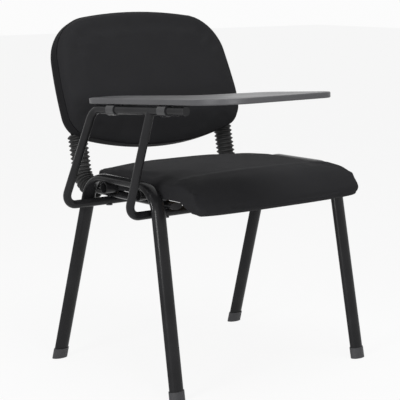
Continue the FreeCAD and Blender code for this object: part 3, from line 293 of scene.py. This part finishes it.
def woven_fabric():
    """Plain woven polyester: a weave on each facing plane with painted shade between the threads, uneven yarn,
    lint and a soft sheen
    """
    made = Shader("black_fabric", FABRIC, roughness=0.92, specular=0.06)
    made.set("Sheen Weight", 0.03)
    made.set("Sheen Roughness", 0.45)
    parts = made.add("ShaderNodeSeparateXYZ")
    made.link(made.place, parts.inputs["Vector"])
    facing = made.add("ShaderNodeSeparateXYZ")
    made.link(made.add("ShaderNodeNewGeometry").outputs["Normal"], facing.inputs["Vector"])
    x, y, z = (parts.outputs[axis] for axis in "XYZ")
    weights = []
    for axis in "XYZ":
        weights.append(made.math("POWER", made.math("ABSOLUTE", facing.outputs[axis]), 6.0))
    total = made.math("ADD", made.math("ADD", weights[0], weights[1]), weights[2])
    height = None
    for weight, plane in zip(weights, ((y, z), (x, z), (x, y))):
        share = made.math("MULTIPLY", made.math("DIVIDE", weight, total), weave_height(made, *plane))
        height = share if height is None else made.math("ADD", height, share)
    yarn = made.noise(scale=520.0, detail=3.0, rough=0.7)
    slow = made.noise(scale=7.0, detail=3.0)
    lint = made.noise(scale=150.0, detail=5.0, rough=0.75)
    # The weave's height also sets the colour: darker between the threads and lighter on their crests, which is
    # painted shade in the weave
    tone = made.math("ADD", made.math("MULTIPLY", height, 0.35), made.math("MULTIPLY", yarn, 0.35))
    tone = made.math("ADD", tone, made.math("MULTIPLY", slow, 0.3))
    tone = made.math("ADD", tone, made.remap(lint, low=0.68, high=0.8, to_low=0.0, to_high=0.12))
    shares = made.remap(tone, low=0.25, high=0.85, to_low=0.0, to_high=1.0)
    made.shade(shares, lighter(FABRIC, factor=0.7), lighter(FABRIC, factor=1.35))
    made.roughen(made.remap(yarn, low=0.3, high=0.7, to_low=0.86, to_high=0.97))
    waves = made.noise(scale=38.0, detail=3.0)
    made.bump([(height, 0.35, 0.00035), (yarn, 0.25, 0.0003), (waves, 0.12, 0.001)])
    return made.material


PLASTICS = {
    "foot_plastic": {"color": FOOT, "roughness": 0.52, "grain": 900.0, "depth": 0.0003, "specular": 0.3},
    "plug_plastic": {"color": PLUG, "roughness": 0.42, "grain": 900.0, "depth": 0.0002, "specular": 0.2},
    "clip_plastic": {"color": CLIP, "roughness": 0.28, "grain": 900.0, "depth": 0.0002, "specular": 0.5},
    "shell_plastic": {"color": SHELL, "roughness": 0.6, "grain": 1100.0, "depth": 0.00012, "specular": 0.03},
    "tablet_plastic": {"color": TABLET, "roughness": 0.36, "grain": 750.0, "depth": 0.00025, "specular": 0.35},
}
MATERIALS = {name: moulded_plastic(name, **values) for name, values in PLASTICS.items()}
MATERIALS["black_paint"] = painted_steel()
MATERIALS["bellows_rubber"] = rubber()
MATERIALS["plywood"] = plywood()
MATERIALS["dark_steel"] = blackened_steel()
MATERIALS["black_fabric"] = woven_fabric()
SLOTS = {entry["node"]: entry["material_slot"] for entry in frame["record"]["subparts"]}


def dress(item, slot_name):
    """Gives an object the finish of a material slot"""
    item.data.materials.clear()
    item.data.materials.append(MATERIALS[slot_name])


for node_name, item in nodes.items():
    dress(item, SLOTS[node_name])


# Soft pads

VOXEL = 5.0 * MM
FRAMES = 20
CLOTH = {
    "quality": 6,
    "mass": 0.25,
    "tension_stiffness": 12.0,
    "compression_stiffness": 12.0,
    "shear_stiffness": 8.0,
    "bending_stiffness": 1.5,
    "use_pressure": True,
    "uniform_pressure_force": 4.0,
}
START_INSET = 3.0 * MM
RISE_CAP = 1.5 * MM
MOVE_CAP_SHARE = 3.0
UNEVEN_HEIGHT = 0.5 * MM
UNEVEN_SCALE = 22.0
SMOOTH_ROUNDS = 30
SMOOTH_SHARE = 0.5
REGROW_SHARE = -0.52


def copy_of(node_name, name):
    """A new object with a copy of a CAD solid's mesh"""
    item = bpy.data.objects.new(name, nodes[node_name].data.copy())
    scene.collection.objects.link(item)
    return item


def settled(item):
    """Replaces an object's mesh by what its modifiers make of it"""
    graph = bpy.context.evaluated_depsgraph_get()
    mesh = bpy.data.meshes.new_from_object(item.evaluated_get(graph))
    item.modifiers.clear()
    item.data = mesh


def remeshed(item, voxel):
    """Even quads over the whole surface"""
    modifier = item.modifiers.new("even", "REMESH")
    modifier.mode = "VOXEL"
    modifier.voxel_size = voxel
    modifier.use_smooth_shade = True
    settled(item)


def inflate(item, held):
    """Blows the pad up from a slightly smaller shape, with held points pinned, and caps the rise"""
    mesh = item.data
    rest = [vertex.co.copy() for vertex in mesh.vertices]
    normals = [vertex.normal.copy() for vertex in mesh.vertices]
    pins = [held(place, normal) for place, normal in zip(rest, normals)]
    group = item.vertex_groups.new(name="held")
    for index, pin in enumerate(pins):
        group.add([index], pin, "REPLACE")
        mesh.vertices[index].co = rest[index] - normals[index] * START_INSET * (1.0 - pin)
    modifier = item.modifiers.new("fill", "CLOTH")
    settings = modifier.settings
    for key, value in CLOTH.items():
        setattr(settings, key, value)
    settings.vertex_group_mass = "held"
    settings.effector_weights.gravity = 0.0
    modifier.collision_settings.use_collision = False
    modifier.point_cache.frame_start = 1
    modifier.point_cache.frame_end = FRAMES
    for number in range(1, FRAMES + 1):
        scene.frame_set(number)
    settled(item)
    mesh = item.data
    for index, vertex in enumerate(mesh.vertices):
        move = vertex.co - rest[index]
        rise = move.dot(normals[index])
        limit = RISE_CAP * (1.0 - pins[index])
        if rise > limit:
            move -= normals[index] * (rise - limit)
        if move.length > MOVE_CAP_SHARE * RISE_CAP:
            move *= MOVE_CAP_SHARE * RISE_CAP / move.length
        vertex.co = rest[index] + move
    scene.frame_set(1)


def relax(item, held):
    """Small unevenness of hand-stretched cloth"""
    mesh = item.data
    normals = [vertex.normal.copy() for vertex in mesh.vertices]
    for vertex, normal in zip(mesh.vertices, normals):
        free = 1.0 - held(vertex.co, normal)
        vertex.co += normal * UNEVEN_HEIGHT * free * noise.noise(vertex.co * UNEVEN_SCALE)


def smoothed(item, still):
    """Evens out a pad without shrinking it, and leaves its still part"""
    mesh = item.data
    frees = [1.0 - still(vertex.co, vertex.normal) for vertex in mesh.vertices]
    made = bmesh.new()
    made.from_mesh(mesh)
    made.verts.ensure_lookup_table()
    moving = [vertex for vertex in made.verts if frees[vertex.index] > 0.0]
    neighbours = [[edge.other_vert(vertex) for edge in vertex.link_edges] for vertex in moving]
    for turn in range(SMOOTH_ROUNDS):
        for share in (SMOOTH_SHARE, REGROW_SHARE):
            targets = []
            for vertex, around in zip(moving, neighbours):
                middle = Vector()
                for other in around:
                    middle += other.co
                targets.append(vertex.co.lerp(middle / len(around), share * frees[vertex.index]))
            for vertex, target in zip(moving, targets):
                vertex.co = target
    made.to_mesh(mesh)
    made.free()


def finer(item):
    """One subdivision, smooth shaded"""
    modifier = item.modifiers.new("finer", "SUBSURF")
    modifier.levels = 1
    modifier.render_levels = 1
    settled(item)
    for polygon in item.data.polygons:
        polygon.use_smooth = True


def soft_pad(name, node_name, held, still, form=None):
    """A padded piece that stands for a CAD pad"""
    item = copy_of(node_name, name)
    remeshed(item, VOXEL)
    if form:
        form(item)
    inflate(item, held)
    smoothed(item, still)
    relax(item, held)
    finer(item)
    dress(item, "black_fabric")
    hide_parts(node_name)
    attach(item, "chair")


board_low, board_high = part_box("seat_board")
HOLD_MARGIN = 2.5 * MM
UNDERSIDE_FACING = -0.35
INNER_FACING = -0.9
MIDDLE_X = (board_low.x + board_high.x) / 2


def inside(place, low, high, margin):
    """Whether a place lies in a box grown by a margin"""
    return all(low[axis] - margin <= place[axis] <= high[axis] + margin for axis in range(3))


def seat_held(place, normal):
    """The seat pad is held on its board and along its underside"""
    if inside(place, board_low, board_high, HOLD_MARGIN):
        return 1.0
    inner = board_low.x < place.x < board_high.x
    if normal.z < UNDERSIDE_FACING and inner:
        return 1.0
    side = math.copysign(1.0, place.x - MIDDLE_X)
    if place.z < board_high.z and normal.x * side < INNER_FACING:
        return 1.0
    return 0.0


WALL_STILL = 410.0 * MM
WALL_FREE = 436.0 * MM


def seat_still(place, normal):
    """The seat pad's low edges keep their shape"""
    if seat_held(place, normal):
        return 1.0
    return 1.0 - min(1.0, max(0.0, (place.z - WALL_STILL) / (WALL_FREE - WALL_STILL)))


BACK_LEAN = math.radians(22)
BACK_FORWARD = Vector((0, -math.cos(BACK_LEAN), math.sin(BACK_LEAN)))
BACK_UPWARD = Vector((0, math.sin(BACK_LEAN), math.cos(BACK_LEAN)))


def rim_depth():
    """How far forward the shell's rim reaches, along the back's facing direction"""
    return max(vertex.co.dot(BACK_FORWARD) for vertex in nodes["back_shell"].data.vertices)


RIM = rim_depth()
RIM_HOLD = 1.5 * MM


def back_held(place, normal):
    """The back pad is held behind the shell's rim"""
    ahead = place.dot(BACK_FORWARD) - RIM
    if ahead < RIM_HOLD:
        return 1.0
    return 0.0


TAPER_LENGTH = 125.0 * MM
TAPER_SHARE = 0.6
TAPER_POWER = 1.6


def turned_under(item):
    """The back pad's front surface turned under towards its bottom edge"""
    bottom = min(vertex.co.dot(BACK_UPWARD) for vertex in item.data.vertices)
    for vertex in item.data.vertices:
        ahead = vertex.co.dot(BACK_FORWARD) - RIM
        low_share = 1.0 - (vertex.co.dot(BACK_UPWARD) - bottom) / TAPER_LENGTH
        if ahead > 0.0 and low_share > 0.0:
            vertex.co -= BACK_FORWARD * (ahead * TAPER_SHARE * low_share ** TAPER_POWER)
    item.data.update()


soft_pad("seat_pad", "seat_cushion", seat_held, seat_still)
soft_pad("back_pad", "back_cushion", back_held, back_held, turned_under)


# Floor, light and backdrop

FLOOR_HALF = 14.0
FLOOR_DROP = 0.0004
FLOOR_COLOR = (0.86, 0.86, 0.86)
FLOOR_GLOW_SHARE = 0.9
WORLD_STRENGTH = 0.2
SHOWN_STRENGTH = 0.97
WHITE = (1.0, 1.0, 1.0, 1.0)
LAMPS = [
    {"name": "overhead", "place": (-0.1, -0.5, 2.8), "target": (0, 0, 0.4),
     "power": 32.0, "width": 1.8, "depth": 1.4},
    {"name": "left", "place": (-2.9, -0.9, 1.4), "target": (0, 0, 0.45),
     "power": 46.0, "width": 0.8, "depth": 0.8},
    {"name": "front_left", "place": (-1.2, -2.9, 1.0), "target": (0, 0, 0.45),
     "power": 28.0, "width": 0.9, "depth": 0.6},
    {"name": "front_right", "place": (2.4, -2.6, 1.6), "target": (0, 0, 0.45),
     "power": 6.0, "width": 0.7, "depth": 1.0},
]


def add_floor():
    """A pale floor that shows as nearly white and keeps the chair's shadow"""
    mesh = bpy.data.meshes.new("floor")
    turns = [(-1, -1), (1, -1), (1, 1), (-1, 1)]
    corners = [(x * FLOOR_HALF, y * FLOOR_HALF, -FLOOR_DROP) for x, y in turns]
    mesh.from_pydata(corners, [], [(0, 1, 2, 3)])
    floor = bpy.data.objects.new("floor", mesh)
    scene.collection.objects.link(floor)
    made = Shader("floor_white", FLOOR_COLOR, roughness=0.8, specular=0.1)
    output = made.tree.nodes["Material Output"]
    glow = made.add("ShaderNodeEmission")
    glow.inputs["Color"].default_value = WHITE
    glow.inputs["Strength"].default_value = 1.0
    mix = made.add("ShaderNodeMixShader")
    path = made.add("ShaderNodeLightPath")
    seen = made.math("MAXIMUM", path.outputs["Is Camera Ray"], path.outputs["Is Glossy Ray"])
    seen = made.math("MAXIMUM", seen, path.outputs["Is Transmission Ray"])
    made.link(made.math("MULTIPLY", seen, FLOOR_GLOW_SHARE), mix.inputs["Fac"])
    made.link(made.surface.outputs["BSDF"], mix.inputs[1])
    made.link(glow.outputs["Emission"], mix.inputs[2])
    made.link(mix.outputs["Shader"], output.inputs["Surface"])
    floor.data.materials.append(made.material)


def add_world():
    """Soft surrounding light, shown as white"""
    world = bpy.data.worlds.new("studio")
    scene.world = world
    world.use_nodes = True
    tree = world.node_tree
    background = tree.nodes["Background"]
    background.inputs["Color"].default_value = WHITE
    background.inputs["Strength"].default_value = WORLD_STRENGTH
    shown = tree.nodes.new("ShaderNodeBackground")
    shown.inputs["Color"].default_value = WHITE
    shown.inputs["Strength"].default_value = SHOWN_STRENGTH
    path = tree.nodes.new("ShaderNodeLightPath")
    mix = tree.nodes.new("ShaderNodeMixShader")
    first = tree.nodes.new("ShaderNodeMath")
    first.operation = "MAXIMUM"
    tree.links.new(path.outputs["Is Camera Ray"], first.inputs[0])
    tree.links.new(path.outputs["Is Glossy Ray"], first.inputs[1])
    second = tree.nodes.new("ShaderNodeMath")
    second.operation = "MAXIMUM"
    tree.links.new(first.outputs["Value"], second.inputs[0])
    tree.links.new(path.outputs["Is Transmission Ray"], second.inputs[1])
    tree.links.new(second.outputs["Value"], mix.inputs["Fac"])
    tree.links.new(background.outputs["Background"], mix.inputs[1])
    tree.links.new(shown.outputs["Background"], mix.inputs[2])
    tree.links.new(mix.outputs["Shader"], tree.nodes["World Output"].inputs["Surface"])


def add_lamp(name, place, target, power, width, depth):
    """A rectangular soft lamp aimed at a place"""
    data = bpy.data.lights.new(name, "AREA")
    data.shape = "RECTANGLE"
    data.size = width
    data.size_y = depth
    data.energy = power
    lamp = bpy.data.objects.new(name, data)
    lamp.location = place
    lamp.rotation_euler = (Vector(target) - Vector(place)).to_track_quat("-Z", "Y").to_euler()
    scene.collection.objects.link(lamp)


add_floor()
add_world()
for lamp_values in LAMPS:
    add_lamp(**lamp_values)

scene.view_settings.view_transform = "Standard"
